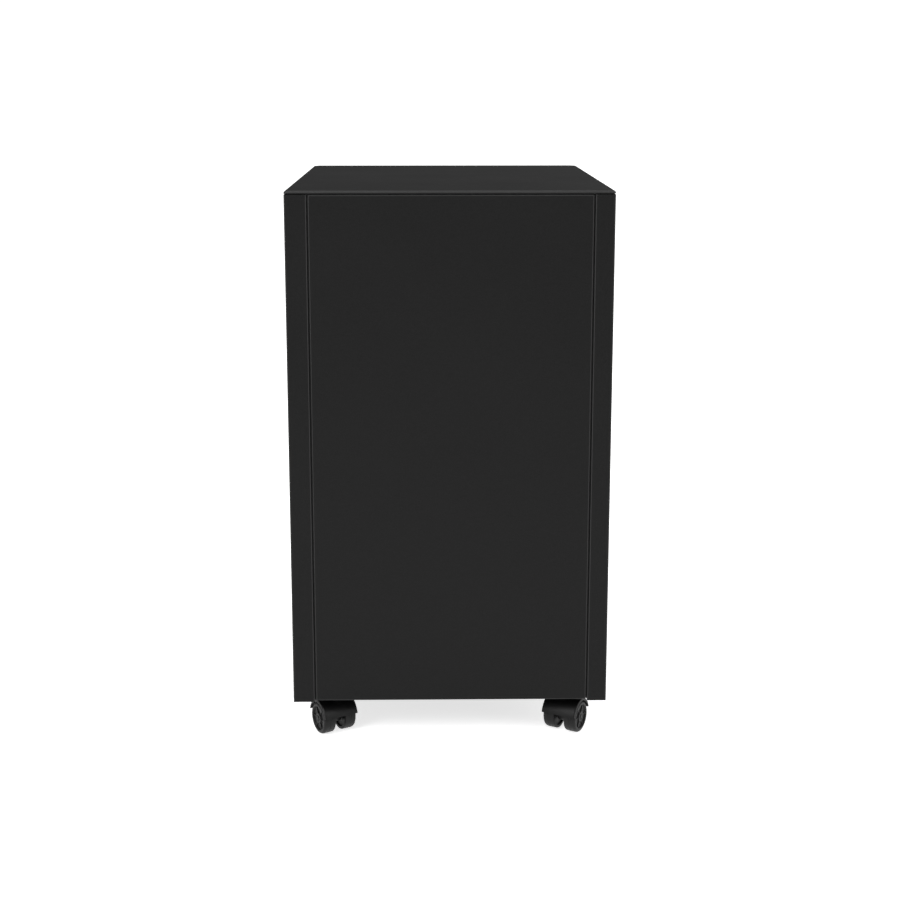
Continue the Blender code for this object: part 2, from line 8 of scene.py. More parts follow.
import bmesh
import bpy
from mathutils import Matrix, Vector


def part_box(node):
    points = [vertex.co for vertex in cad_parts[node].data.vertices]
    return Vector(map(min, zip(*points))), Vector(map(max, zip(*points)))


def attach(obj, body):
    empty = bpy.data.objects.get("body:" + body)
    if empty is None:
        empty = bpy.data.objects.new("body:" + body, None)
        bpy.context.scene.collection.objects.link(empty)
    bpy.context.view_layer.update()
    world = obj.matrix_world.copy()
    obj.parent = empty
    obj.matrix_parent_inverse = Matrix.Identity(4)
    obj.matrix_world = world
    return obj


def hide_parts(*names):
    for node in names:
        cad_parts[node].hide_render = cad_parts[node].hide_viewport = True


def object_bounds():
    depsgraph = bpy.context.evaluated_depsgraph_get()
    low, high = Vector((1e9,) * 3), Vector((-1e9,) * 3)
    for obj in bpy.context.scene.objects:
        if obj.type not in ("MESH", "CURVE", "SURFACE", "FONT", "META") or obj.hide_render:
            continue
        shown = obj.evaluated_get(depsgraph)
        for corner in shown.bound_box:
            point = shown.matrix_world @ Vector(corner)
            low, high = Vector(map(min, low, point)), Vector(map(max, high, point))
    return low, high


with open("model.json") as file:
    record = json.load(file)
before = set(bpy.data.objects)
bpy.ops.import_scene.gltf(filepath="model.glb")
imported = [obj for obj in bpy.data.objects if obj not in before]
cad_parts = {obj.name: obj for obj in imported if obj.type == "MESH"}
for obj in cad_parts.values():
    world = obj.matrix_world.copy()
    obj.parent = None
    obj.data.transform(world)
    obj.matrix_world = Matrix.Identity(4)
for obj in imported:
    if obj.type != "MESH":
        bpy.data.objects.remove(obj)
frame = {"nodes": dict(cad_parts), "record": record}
CAD_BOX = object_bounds()

# Sheet steel
SHEET = 0.0008
BEND = 0.0015
LID_BEND = 0.0025
LID_CORNER = 0.012
BACK_BEND = 0.0012
RETURN_BEND = 0.0011
BACK_HEM = 0.010
STILE = 0.018
STILE_RETURN = 0.015
BEND_STEPS = 6
NARROW_FACE = 0.0007
# Dark strips in the lid and back joints, which are painted shade in the seams.
SHADE_STRIP = 0.002
SHADE_STRIP_INSET = 0.0022
HEM_HEIGHT = 0.011
HEM_GAP = 0.0001

# Drawer trays and their slides
BEAD = 0.012
BEAD_INSET = 0.045
BEAD_RISE = 0.0007
BALLS = 10
BALL_START = 0.030
BALL_PITCH = 0.009
BALL_CLEARANCE = 0.0012

# Recessed pulls
PULL_BEZEL = 0.0045
PULL_PLATE = 0.0014
PULL_LIP = 0.007
PULL_WALL = 0.0022
PULL_CORNER = 0.005

# Pen tray
TRAY_WALL = 0.003
TRAY_FLOOR = 0.0018
TRAY_SPLIT = 0.060
POCKET_CORNER = 0.007

# Lock
KEYHOLE = (0.0014, 0.0078, 0.0070)  # width, depth, height
BARREL_RADIUS = 0.009
PAST = 0.01

# Casters
TRAIL_ANGLES = {"rear_right": 120, "rear_left": 60, "front_right": 307, "front_left": 232}
TRAIL = 0.013
WHEEL_RADIUS = 0.020
WHEEL_INNER = 0.0066
WHEEL_OUTER = 0.0224
HOOD_RADIUS = 0.0243
HOOD_HALF_WIDTH = 0.023
HOOD_WELL_RADIUS = 0.0210
HOOD_SKIRT_Z = 0.026
HOOD_TOP = 0.0499
NECK_RADIUS = 0.011
NECK_BOTTOM = 0.030
KINGPIN_RADIUS = 0.0044
KINGPIN_BOTTOM = 0.0376
BOSS_RADIUS = 0.009
LEVER_PIVOT = 0.0155
LEVER_HALF_WIDTH = 0.012
LEVER_PADDLE = (0.0095, 0.0195)
LEVER_PRONG = (0.0024, 0.0058)
PLATE_THICKNESS = 0.002

# Camera, behind the cabinet
CAMERA_BEHIND = 1.8
CAMERA_SIDE = 0.026
CAMERA_HEIGHT = 0.823
CAMERA_AIM = 0.4745
CAMERA_LENS = 61.3
CAMERA_SHIFT = -0.09

# Studio: a dome that is dim at the horizon and bright overhead, with white paper behind
SKY_LOW = 0.0
SKY_HIGH = 1.35
PAPER = 1.1
FLOOR_GLOW = 0.72

SIDES = (("right", 1), ("left", -1))
DRAWERS = ("top", "middle", "file")


# --- materials ----------------------------------------------------------------------------

class Look:
    """A procedural material whose Principled shader is fed by textures in the piece's own frame."""

    def __init__(self, name):
        self.material = bpy.data.materials.new(name)
        self.material.use_nodes = True
        self.tree = self.material.node_tree
        self.shader = self.tree.nodes["Principled BSDF"]
        self.place = self.tree.nodes.new("ShaderNodeTexCoord").outputs["Object"]

    def node(self, kind, **settings):
        made = self.tree.nodes.new(kind)
        for name, value in settings.items():
            setattr(made, name, value)
        return made

    def feed(self, socket, value):
        if isinstance(value, bpy.types.NodeSocket):
            self.tree.links.new(value, socket)
        else:
            socket.default_value = value

    def noise(self, size, detail=2.0, stretch=(1, 1, 1)):
        """Noise with features of about that size, in metres, drawn out along the axes in stretch."""
        mapping = self.node("ShaderNodeMapping")
        mapping.inputs["Scale"].default_value = [1 / (size * s) for s in stretch]
        self.feed(mapping.inputs["Vector"], self.place)
        texture = self.node("ShaderNodeTexNoise")
        texture.inputs["Scale"].default_value = 1.0
        texture.inputs["Detail"].default_value = detail
        self.feed(texture.inputs["Vector"], mapping.outputs["Vector"])
        return texture.outputs["Fac"]

    def spread(self, value, low, high, start=0.3, end=0.7):
        """A texture's value, from start to end, as a number from low to high."""
        ranger = self.node("ShaderNodeMapRange")
        self.feed(ranger.inputs["Value"], value)
        for name, number in zip(("From Min", "From Max", "To Min", "To Max"), (start, end, low, high)):
            ranger.inputs[name].default_value = number
        return ranger.outputs["Result"]

    def blend(self, factor, first, second):
        mix = self.node("ShaderNodeMix", data_type="RGBA")
        self.feed(mix.inputs["Factor"], factor)
        self.feed(mix.inputs["A"], first)
        self.feed(mix.inputs["B"], second)
        return mix.outputs["Result"]

    def relief(self, height, depth, strength, under=None):
        bump = self.node("ShaderNodeBump")
        bump.inputs["Distance"].default_value = depth
        bump.inputs["Strength"].default_value = strength
        self.feed(bump.inputs["Height"], height)
        if under:
            self.feed(bump.inputs["Normal"], under)
        return bump.outputs["Normal"]

    def matt_when_grazed(self, gloss):
        """Gloss that fades on faces seen at a low angle, where the pebbled skin hides its own shine."""
        weight = self.node("ShaderNodeLayerWeight")
        return self.spread(weight.outputs["Facing"], gloss, 0.02, 0.3, 0.85)

    def set(self, **values):
        for name, value in values.items():
            self.feed(self.shader.inputs[name.replace("_", " ")], value)


def grey(level, warmth=0.0):
    return (level * (1 + warmth), level, level * (1 - warmth), 1.0)


def powder_coat(name="powder_coat_black", shade=0.0046, bumps=0.014):
    """Satin black powder coat: a fine pebbled skin with a slow drift in shade."""
    look = Look(name)
    drift = look.noise(0.16, 3)
    pebbles = look.noise(0.0011, 2)
    peel = look.noise(0.0045, 1)
    skin = look.blend(look.spread(drift, 0, 1), grey(0.9 * shade), grey(1.1 * shade))
    look.set(Base_Color=look.blend(look.spread(pebbles, 0.0, 0.35, 0.45, 0.8), skin, grey(bumps)),
             Roughness=look.spread(drift, 0.44, 0.50),
             Specular_IOR_Level=look.matt_when_grazed(0.12),
             Normal=look.relief(pebbles, 0.00025, 0.30, look.relief(peel, 0.0004, 0.25)))
    return look.material


def zinc():
    """Bright zinc plating over rolled steel: faint lines along the roll and cloudy dulling."""
    look = Look("zinc_plate")
    cloud = look.noise(0.012, 4)
    lines = look.noise(0.0004, 2, (1, 60, 1))
    look.set(Base_Color=look.blend(look.spread(cloud, 0, 1), grey(0.28, -0.03), grey(0.38, -0.01)),
             Metallic=1.0, Roughness=look.spread(cloud, 0.30, 0.46),
             Normal=look.relief(lines, 0.0001, 0.25))
    return look.material


def chrome():
    """Polished plating with a few hairline scratches."""
    look = Look("chrome_plate")
    haze = look.noise(0.003, 3)
    scratches = look.noise(0.0002, 1, (1, 1, 25))
    look.set(Base_Color=look.blend(look.spread(haze, 0, 1), grey(0.42), grey(0.52)), Metallic=1.0,
             Roughness=look.spread(haze, 0.10, 0.22), Normal=look.relief(scratches, 0.00005, 0.2))
    return look.material


def plastic(name, shade, roughness, texture_size, depth):
    """Moulded black plastic with a spark-eroded texture and slight gloss changes."""
    look = Look(name)
    cloud = look.noise(0.02, 3)
    grain = look.noise(texture_size, 2)
    look.set(Base_Color=look.blend(look.spread(cloud, 0, 1), grey(shade * 0.85), grey(shade * 1.2)),
             Roughness=look.spread(cloud, roughness - 0.05, roughness + 0.06),
             Normal=look.relief(grain, depth, 0.35))
    look.shader.inputs["Specular IOR Level"].default_value = 0.2
    return look.material


def wheel_nylon():
    """Black nylon with pale dust and scuffs, as a rolling tread picks up."""
    look = Look("wheel_nylon_black")
    cloud = look.noise(0.008, 3)
    scuffs = look.noise(0.0022, 5)
    dust = look.spread(scuffs, 0.0, 0.5, 0.56, 0.75)
    look.set(Base_Color=look.blend(dust, look.blend(look.spread(cloud, 0, 1), grey(0.0035), grey(0.005)),
                                   grey(0.012, 0.03)),
             Roughness=look.spread(scuffs, 0.36, 0.55), Normal=look.relief(scuffs, 0.0001, 0.3))
    look.shader.inputs["Specular IOR Level"].default_value = 0.2
    return look.material


LOOKS = {
    "powder_coat": powder_coat(),
    "zinc_plated_steel": zinc(),
    "chrome": chrome(),
    "black_plastic": plastic("moulded_black_plastic", 0.0045, 0.42, 0.0006, 0.0002),
    "wheel_nylon": wheel_nylon(),
}
# A lighter copy of the coat for the bends: a painted highlight along the folds.
BEND_HIGHLIGHT_COAT = powder_coat("powder_coat_painted_bend_highlight", 0.026, 0.045)
# Black rubber for the bumpers, also the dark of the joint strips, which are painted shade.
RUBBER_AND_SEAM_SHADE = plastic("black_rubber_and_seam_shade", 0.016, 0.70, 0.0004, 0.0001)


# --- shapes -------------------------------------------------------------------------------

def new_piece(name, bm, slot, material=None):
    mesh = bpy.data.meshes.new(name)
    bm.to_mesh(mesh)
    bm.free()
    item = bpy.data.objects.new(name, mesh)
    bpy.context.scene.collection.objects.link(item)
    mesh.materials.append(material or LOOKS[slot])
    return item


def settle(item, body, *nodes, angle=38):
    """Applies the piece's modifiers, shades it smooth but for sharp edges, and puts it on its body."""
    depsgraph = bpy.context.evaluated_depsgraph_get()
    mesh = bpy.data.meshes.new_from_object(item.evaluated_get(depsgraph), depsgraph=depsgraph)
    item.modifiers.clear()
    item.data = mesh
    mesh.shade_smooth()
    mesh.set_sharp_from_angle(angle=math.radians(angle))
    # Narrow bend faces of the coat get the painted highlight.
    if mesh.materials[0] == LOOKS["powder_coat"]:
        paint_bend_highlights(mesh)
    weigh = item.modifiers.new("flat faces", "WEIGHTED_NORMAL")
    weigh.keep_sharp = True
    weigh.weight = 80
    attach(item, body)
    if nodes:
        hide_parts(*nodes)
    return item


def paint_bend_highlights(mesh):
    """Bends take a lighter copy of the coat, a painted highlight along each fold; a bend's faces are all narrow."""
    mesh.materials.append(BEND_HIGHLIGHT_COAT)
    for face in mesh.polygons:
        longest = max((mesh.vertices[a].co - mesh.vertices[b].co).length for a, b in face.edge_keys)
        if face.area < NARROW_FACE * longest:
            face.material_index = 1


def bevel(item, width, segments=3, angle=35):
    modifier = item.modifiers.new("rounded edges", "BEVEL")
    modifier.width = width
    modifier.segments = segments
    modifier.limit_method = "ANGLE"
    modifier.angle_limit = math.radians(angle)
    return item


def solidify(item, thickness):
    modifier = item.modifiers.new("sheet", "SOLIDIFY")
    modifier.thickness = thickness
    modifier.offset = -1.0
    modifier.use_even_offset = True
    return item


def combine(item, operation, bm):
    """Cuts or joins item with a shape, at once."""
    mesh = bpy.data.meshes.new("tool")
    bm.to_mesh(mesh)
    bm.free()
    tool = bpy.data.objects.new("tool", mesh)
    bpy.context.scene.collection.objects.link(tool)
    modifier = item.modifiers.new(operation, "BOOLEAN")
    modifier.operation = operation
    modifier.solver = "EXACT"
    modifier.object = tool
    depsgraph = bpy.context.evaluated_depsgraph_get()
    depsgraph.update()
    made = bpy.data.meshes.new_from_object(item.evaluated_get(depsgraph), depsgraph=depsgraph)
    item.modifiers.clear()
    item.data = made
    bpy.data.objects.remove(tool, do_unlink=True)
    bpy.data.meshes.remove(mesh)
    return item


def block(low, high):
    low, high = Vector(low), Vector(high)
    bm = bmesh.new()
    bmesh.ops.create_cube(bm, size=1.0)
    bmesh.ops.scale(bm, vec=high - low, verts=bm.verts)
    bmesh.ops.translate(bm, vec=(low + high) / 2, verts=bm.verts)
    return bm


def soft_block(low, high, radius, segments=3):
    """Block with rounded edges."""
    bm = block(low, high)
    bmesh.ops.bevel(bm, geom=bm.edges, offset=radius, segments=segments, profile=0.5, affect="EDGES")
    return bm


def between(start, end):
    """Matrix that takes +Z, from the origin, along the line from start to end."""
    start, end = Vector(start), Vector(end)
    return Matrix.Translation(start) @ (end - start).to_track_quat("Z", "Y").to_matrix().to_4x4()


def rod(start, end, radius, segments=32):
    bm = bmesh.new()
    depth = (Vector(end) - Vector(start)).length
    bmesh.ops.create_cone(bm, cap_ends=True, segments=segments, radius1=radius, radius2=radius, depth=depth,
                          matrix=Matrix.Translation((0, 0, depth / 2)))
    bmesh.ops.transform(bm, matrix=between(start, end), verts=bm.verts)
    return bm


def revolve(profile, segments=48, matrix=Matrix.Identity(4), closed=False):
    """Surface swept about Z by a profile of (radius, height); a closed profile makes a ring."""
    bm = bmesh.new()
    loops = []
    for radius, height in profile:
        if radius < 1e-7:
            loops.append([bm.verts.new((0, 0, height))])
            continue
        turn = [2 * math.pi * i / segments for i in range(segments)]
        loops.append([bm.verts.new((radius * math.cos(a), radius * math.sin(a), height)) for a in turn])
    pairs = list(zip(loops, loops[1:]))
    if closed:
        pairs.append((loops[-1], loops[0]))
    for first, second in pairs:
        for i in range(segments):
            j = (i + 1) % segments
            near = [first[i % len(first)], first[j % len(first)]]
            far = [second[j % len(second)], second[i % len(second)]]
            bm.faces.new(list(dict.fromkeys(near + far)))
    bmesh.ops.recalc_face_normals(bm, faces=bm.faces)
    bmesh.ops.transform(bm, matrix=matrix, verts=bm.verts)
    return bm


def merge(*shapes):
    """One bmesh holding all the shapes."""
    whole = bmesh.new()
    for bm in shapes:
        mesh = bpy.data.meshes.new("shape")
        bm.to_mesh(mesh)
        bm.free()
        whole.from_mesh(mesh)
        bpy.data.meshes.remove(mesh)
    return whole


def rounded(points, radii, steps=BEND_STEPS):
    """Open outline whose inner corners are arcs of the given radii."""
    outline = [Vector(points[0])]
    for before, corner, after, radius in zip(points, points[1:], points[2:], radii):
        corner = Vector(corner)
        back = (Vector(before) - corner).normalized()
        ahead = (Vector(after) - corner).normalized()
        half = math.acos(back.dot(ahead)) / 2
        centre = corner + (back + ahead).normalized() * radius / math.sin(half)
        start = corner + back * radius / math.tan(half) - centre
        turn = math.copysign(math.pi - 2 * half, ahead.cross(back))
        for i in range(steps + 1):
            outline.append(centre + Matrix.Rotation(turn * i / steps, 2) @ start)
    outline.append(Vector(points[-1]))
    return outline


def round_rectangle(half_x, low, high, radius, y, steps=6):
    """Points of a rounded rectangle that stands in the XZ plane at y, in order round it."""
    points = []
    corners = ((half_x, high, 0), (-half_x, high, 90), (-half_x, low, 180), (half_x, low, 270))
    for x, z, start in corners:
        centre_x = x - math.copysign(radius, x)
        centre_z = z - radius if z == high else z + radius
        for i in range(steps + 1):
            a = math.radians(start + 90 * i / steps)
            points.append((centre_x + radius * math.cos(a), y, centre_z + radius * math.sin(a)))
    return points


def loft(rings):
    """Closed body through rings that all have the same number of points."""
    bm = bmesh.new()
    loops = [[bm.verts.new(p) for p in ring] for ring in rings]
    count = len(loops[0])
    for first, second in zip(loops, loops[1:]):
        for i in range(count):
            j = (i + 1) % count
            bm.faces.new((first[i], first[j], second[j], second[i]))
    bm.faces.new(loops[0])
    bm.faces.new(loops[-1])
    bmesh.ops.recalc_face_normals(bm, faces=bm.faces)
    return bm


def open_box(low, high, open_to, front_corner=0.0):
    """Box with one side left open; front_corner rounds its upright front edges."""
    bm = block(low, high)
    if front_corner:
        middle = (low.y + high.y) / 2
        upright = [
            edge for edge in bm.edges
            if all(vert.co.y < middle for vert in edge.verts)
            and abs(edge.verts[0].co.x - edge.verts[1].co.x) < SHEET
        ]
        bmesh.ops.bevel(bm, geom=upright, offset=front_corner, segments=14, profile=0.5, affect="EDGES")
    open_faces = [face for face in bm.faces if face.normal.dot(Vector(open_to)) > 0.9]
    bmesh.ops.delete(bm, geom=open_faces, context="FACES")
    return bm


def pan(name, node, open_to, bend, body, front_corner=0.0):
    """Folded sheet tray that fills a CAD node's box, open on one side."""
    item = new_piece(name, open_box(*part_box(node), open_to, front_corner), "powder_coat")
    bevel(item, bend, BEND_STEPS)
    solidify(item, SHEET)
    return settle(item, body, node)


# --- case ---------------------------------------------------------------------------------

def side_sheet(side, sign):
    """Side wall with its front stile and its back return, folded from one sheet."""
    low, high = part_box(f"side_panel_{side}")
    outer = max(abs(low.x), abs(high.x))
    back_end = min(abs(low.x), abs(high.x))
    corners = [
        (outer - STILE, low.y + STILE_RETURN),
        (outer - STILE, low.y),
        (outer, low.y),
        (outer, high.y),
        (back_end, high.y),
        (back_end, high.y - BACK_HEM),
    ]
    outline = rounded([(sign * x, y) for x, y in corners], (BEND, LID_CORNER, BEND, RETURN_BEND), 8)
    bm = bmesh.new()
    lower = [bm.verts.new((x, y, low.z)) for x, y in outline]
    upper = [bm.verts.new((x, y, high.z)) for x, y in outline]
    for i in range(len(outline) - 1):
        corners = (lower[i], lower[i + 1], upper[i + 1], upper[i])
        bm.faces.new(corners if sign > 0 else corners[::-1])
    item = solidify(new_piece(f"side_sheet_{side}", bm, "powder_coat"), SHEET)
    settle(item, "case", f"side_panel_{side}", angle=50)


def lid_seam_shade_strip():
    """Dark strip under the lid's rim that closes its joint with the walls: painted shade, so the joint reads dark
    and no light shows through it.
    """
    low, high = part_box("top_panel")
    inset = Vector((SHADE_STRIP_INSET, SHADE_STRIP_INSET, 0))
    low, high = low + inset, high - inset
    low.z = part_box("side_panel_left")[1].z + HEM_GAP
    high.z -= SHEET + HEM_GAP
    bm = open_box(low, high, (0, 0, 1), LID_CORNER - SHADE_STRIP_INSET)
    floor = [face for face in bm.faces if face.normal.z < -0.9]
    bmesh.ops.delete(bm, geom=floor, context="FACES")
    settle(solidify(new_piece("lid_seam_shade_strip", bm, "black_plastic", RUBBER_AND_SEAM_SHADE), SHADE_STRIP), "case")


def back_seam_shade_strips():
    """Dark strips in the joints between the back panel and the walls' returns: painted shade, set a little way in so
    the joints read dark and no light shows through them.
    """
    low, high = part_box("back_panel")
    strips = []
    for side, sign in SIDES:
        wall_low, wall_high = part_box(f"side_panel_{side}")
        panel_edge = max(low.x * sign, high.x * sign)
        return_edge = min(wall_low.x * sign, wall_high.x * sign)
        ends = sorted((sign * (panel_edge + HEM_GAP), sign * (return_edge - HEM_GAP)))
        rear = wall_high.y - 2 * SHADE_STRIP
        strips.append(soft_block((ends[0], rear - SHADE_STRIP, low.z), (ends[1], rear, high.z), 0.0002))
    settle(new_piece("back_seam_shade_strips", merge(*strips), "black_plastic", RUBBER_AND_SEAM_SHADE), "case")


def case():
    pan("lid_sheet", "top_panel", (0, 0, -1), LID_BEND, "case", LID_CORNER)
    pan("back_sheet", "back_panel", (0, -1, 0), BACK_BEND, "case")
    for side, sign in SIDES:
        side_sheet(side, sign)
    # Dark strips in the lid and back joints: painted shade.
    lid_seam_shade_strip()
    back_seam_shade_strips()


# --- drawers ------------------------------------------------------------------------------

def front_sheet(drawer):
    """Drawer front with the cut-out that its pull sits in."""
    pull_low, pull_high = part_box(f"{drawer}_pull")
    low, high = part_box(f"{drawer}_front")
    bm = open_box(low, high, (0, 1, 0))
    item = new_piece(f"{drawer}_front_sheet", bm, "powder_coat")
    solidify(bevel(item, BEND, BEND_STEPS), SHEET)
    margin = PULL_BEZEL - 0.0005
    combine(item, "DIFFERENCE", block((pull_low.x + margin, low.y - 0.01, pull_low.z + margin),
                                      (pull_high.x - margin, low.y + 0.005, pull_high.z - margin)))
    settle(item, f"{drawer}_drawer", f"{drawer}_front")


def pull_cup(drawer):
    """Moulded recessed pull: a rounded bezel, a lip to hook the fingers over, and the cup behind it."""
    low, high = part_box(f"{drawer}_pull")
    half = high.x
    face = low.y
    plate = face + PULL_PLATE
    back = high.y
    crest = 0.0004

    def ring(inset, y, lip=0.0, corner=PULL_CORNER):
        return round_rectangle(half - inset, low.z + inset, high.z - inset - lip, corner, y)

    mouth = PULL_BEZEL + PULL_WALL
    rings = [
        ring(PULL_BEZEL, back, corner=0.003),
        ring(PULL_BEZEL, plate + 0.0004, corner=0.003),
        ring(0, plate),
        ring(0, face + 2 * crest),
        ring(0.3 * crest, face + crest),
        ring(crest, face + 0.3 * crest),
        ring(2 * crest, face),
        ring(mouth - 2.5 * crest, face, PULL_LIP, 0.0035),
        ring(mouth - crest, face + 0.4 * crest, PULL_LIP, 0.003),
        ring(mouth, face + 1.6 * crest, PULL_LIP, 0.003),
        ring(mouth, plate + crest, PULL_LIP, 0.003),
        ring(mouth, plate + 2 * crest, 0, 0.003),
        ring(mouth, back - PULL_WALL - 0.0028, 0, 0.003),
        ring(mouth + 0.0008, back - PULL_WALL - 0.0009, 0, 0.003),
        ring(mouth + 0.0028, back - PULL_WALL, 0, 0.003),
    ]
    item = new_piece(f"{drawer}_pull_cup", loft(rings), "black_plastic")
    settle(item, f"{drawer}_drawer", f"{drawer}_pull", angle=50)


def hem(name, start, end, inward, drawer):
    """Folded-over top edge of a tray wall: a strip just inside it, with a rounded lower bead."""
    start, end, inward = Vector(start), Vector(end), Vector(inward)
    first, last = start + inward * HEM_GAP, end + inward * (HEM_GAP + SHEET)
    low = [min(a, b) for a, b in zip(first, last)]
    high = [max(a, b) for a, b in zip(first, last)]
    low[2] -= HEM_HEIGHT
    bm = soft_block(low, high, 0.00034)
    settle(new_piece(name, bm, "powder_coat"), drawer)


def tray_hems(drawer):
    """Hems along the tray's side and rear walls, and shallow stiffening beads on its floor."""
    low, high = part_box(f"{drawer}_tray")
    wall = abs(low.x) - SHEET
    top = high.z - 0.0001
    rear = high.y - SHEET
    body = f"{drawer}_drawer"
    for side, sign in SIDES:
        if drawer != "file":
            start = (sign * wall, low.y + 0.002, top)
            end = (sign * wall, rear - 0.002, top)
            hem(f"{drawer}_tray_hem_{side}", start, end, (-sign, 0, 0), body)
    hem(f"{drawer}_tray_hem_rear", (-wall + 0.003, rear, top), (wall - 0.003, rear, top), (0, -1, 0), body)
    floor = low.z + SHEET
    beads = []
    for sign in (-1, 0, 1):
        x = sign * 0.42 * wall
        start = (x - BEAD / 2, low.y + BEAD_INSET, floor - SHEET / 2)
        end = (x + BEAD / 2, rear - BEAD_INSET, floor + BEAD_RISE)
        beads.append(soft_block(start, end, 0.0005))
    settle(new_piece(f"{drawer}_tray_beads", merge(*beads), "powder_coat"), body)


def screw_head(place, direction, radius=0.0034, height=0.0018):
    """Pan-head screw with a cross recess, standing on place and facing along direction."""
    dome = [
        (0, height),
        (0.45 * radius, 0.97 * height),
        (0.8 * radius, 0.72 * height),
        (radius, 0.25 * height),
        (radius, 0),
        (0, 0),
    ]
    place, direction = Vector(place), Vector(direction)
    matrix = between(place, place + direction)
    head = new_piece("screw_head", revolve(dome, 24, matrix), "zinc_plated_steel")
    arm, slit = 0.55 * radius, 0.14 * radius
    for across, along in ((arm, slit), (slit, arm)):
        recess = block((-across, -along, 0.45 * height), (across, along, 2 * height))
        bmesh.ops.transform(recess, matrix=matrix, verts=recess.verts)
        combine(head, "DIFFERENCE", recess)
    return head


def screws(name, places, direction, body, **size):
    """One piece that holds several screw heads."""
    heads = [screw_head(place, direction, **size) for place in places]
    whole = bmesh.new()
    for head in heads:
        whole.from_mesh(head.data)
        bpy.data.objects.remove(head, do_unlink=True)
    settle(new_piece(name, whole, "zinc_plated_steel"), body, angle=30)


def slide_details(drawer):
    """Fixing screws and bearing balls of a drawer's two slides."""
    body = f"{drawer}_drawer"
    for side, sign in SIDES:
        low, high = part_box(f"{drawer}_slide_inner_{side}")
        web = sign * min(abs(low.x), abs(high.x))
        middle = (low.z + high.z) / 2
        height = high.z - low.z
        length = high.y - low.y
        places = [(web + sign * 0.0012, low.y + share * length, middle) for share in (0.12, 0.46, 0.88)]
        screws(f"{drawer}_slide_screws_{side}", places, (sign, 0, 0), body, radius=0.0032, height=0.0015)
        balls(drawer, side, sign)


def balls(drawer, side, sign):
    """Bearing balls of a slide, above and below its inner member."""
    inner_low, inner_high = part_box(f"{drawer}_slide_inner_{side}")
    partner = "mid" if drawer == "file" else "outer"
    outer_low, outer_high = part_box(f"{drawer}_slide_{partner}_{side}")
    inner_edge = max(abs(inner_low.x), abs(inner_high.x))
    outer_edge = min(abs(outer_low.x), abs(outer_high.x))
    x = sign * (inner_edge + outer_edge) / 2
    spheres = []
    for inner_z, outer_z in ((inner_high.z, outer_high.z), (inner_low.z, outer_low.z)):
        room = abs(outer_z - inner_z) - BALL_CLEARANCE
        z = inner_z + math.copysign(room / 2, outer_z - inner_z)
        for i in range(BALLS):
            y = outer_low.y + BALL_START + i * BALL_PITCH
            ball = bmesh.new()
            bmesh.ops.create_uvsphere(ball, u_segments=14, v_segments=10, radius=0.42 * room,
                                      matrix=Matrix.Translation((x, y, z)))
            spheres.append(ball)
    item = new_piece(f"{drawer}_slide_balls_{side}", merge(*spheres), "chrome")
    settle(item, "file_slide_mid" if drawer == "file" else "case")


def bumpers(drawer):
    """Rubber bumpers on the back of a drawer front, where it closes against the case."""
    low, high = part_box(f"{drawer}_front")
    dots = []
    for x in (low.x + 0.012, high.x - 0.012):
        for z in (low.z + 0.014, high.z - 0.014):
            profile = [(0, 0.0012), (0.0028, 0.0011), (0.004, 0.0007), (0.0045, 0), (0, 0)]
            dots.append(revolve(profile, 28, between((x, high.y, z), (x, high.y + 1, z))))
    item = new_piece(f"{drawer}_bumpers", merge(*dots), "black_plastic", RUBBER_AND_SEAM_SHADE)
    settle(item, f"{drawer}_drawer", angle=50)


def pen_tray():
    """Moulded tray with four rounded pockets and a rolled rim that rests on the drawer's walls."""
    low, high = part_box("pen_tray")
    rim = 0.0017
    inset = high.x - 0.161
    front, rear = low.y, high.y
    tub = soft_block((low.x + inset, front + 0.0003, low.z), (high.x - inset, rear - 0.0003, high.z - 0.0006), 0.003)
    item = new_piece("pen_tray_moulding", tub, "black_plastic")
    combine(item, "UNION", soft_block((low.x, front, high.z - rim), (high.x, rear, high.z), 0.0007))
    middle = (front + rear) / 2
    half = high.x - inset
    columns = ((-half + TRAY_WALL, TRAY_SPLIT), (TRAY_SPLIT + TRAY_WALL, half - TRAY_WALL))
    rows = ((front + TRAY_WALL, middle - TRAY_WALL / 2), (middle + TRAY_WALL / 2, rear - TRAY_WALL))
    for low_x, high_x in columns:
        for low_y, high_y in rows:
            combine(item, "DIFFERENCE", soft_block((low_x, low_y, low.z + TRAY_FLOOR),
                                                   (high_x, high_y, high.z + 0.02), POCKET_CORNER, 6))
    settle(item, "pen_tray", "pen_tray")


def file_rails():
    """Hanging-folder rails with rounded edges."""
    for side, sign in SIDES:
        low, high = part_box(f"file_rail_{side}")
        bar = new_piece(f"file_rail_bar_{side}", soft_block(low, high, 0.0006), "zinc_plated_steel")
        settle(bar, "file_drawer", f"file_rail_{side}")


def drawers():
    for drawer in DRAWERS:
        front_sheet(drawer)
        pull_cup(drawer)
        tray_hems(drawer)
        slide_details(drawer)
        bumpers(drawer)
    pen_tray()
    file_rails()


# --- lock ---------------------------------------------------------------------------------

